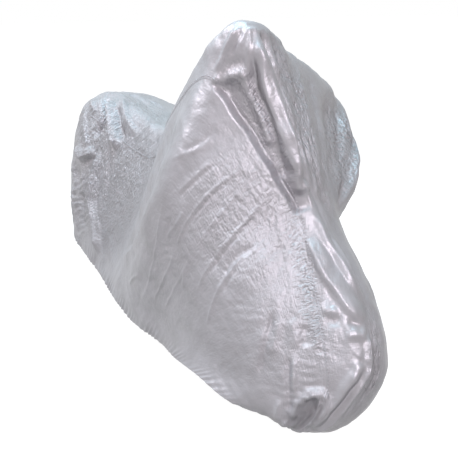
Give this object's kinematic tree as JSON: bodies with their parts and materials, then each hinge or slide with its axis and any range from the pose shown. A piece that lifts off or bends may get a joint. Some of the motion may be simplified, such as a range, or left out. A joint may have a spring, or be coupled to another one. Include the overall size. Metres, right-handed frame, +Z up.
{
  "type": "motorcycle cover",
  "caption": "Silver-coated cloth storage cover for a motorcycle, draped over mirrors, bars, tank, saddle and tail, open below, with seamed side panels and a gathered hem.",
  "frame": {"origin": "on the underside of the cover's top, where it rests on the saddle of the motorcycle under it", "axes": "+X towards the front wheel, along the motorcycle; +Y to the motorcycle's left; +Z up. The motorcycle under it leans 15 degrees to its left, with its bars turned 28 degrees left."},
  "size_m": [2.2834, 0.928, 1.4016],
  "materials": {
    "silver_cloth": "thin woven cloth with a silver coating, semi-gloss, creased from storage"
  },
  "bodies": {
    "root": {"side_panel_right": "silver_cloth", "centre_panel": "silver_cloth", "side_panel_left": "silver_cloth"}
  },
  "joints": []
}
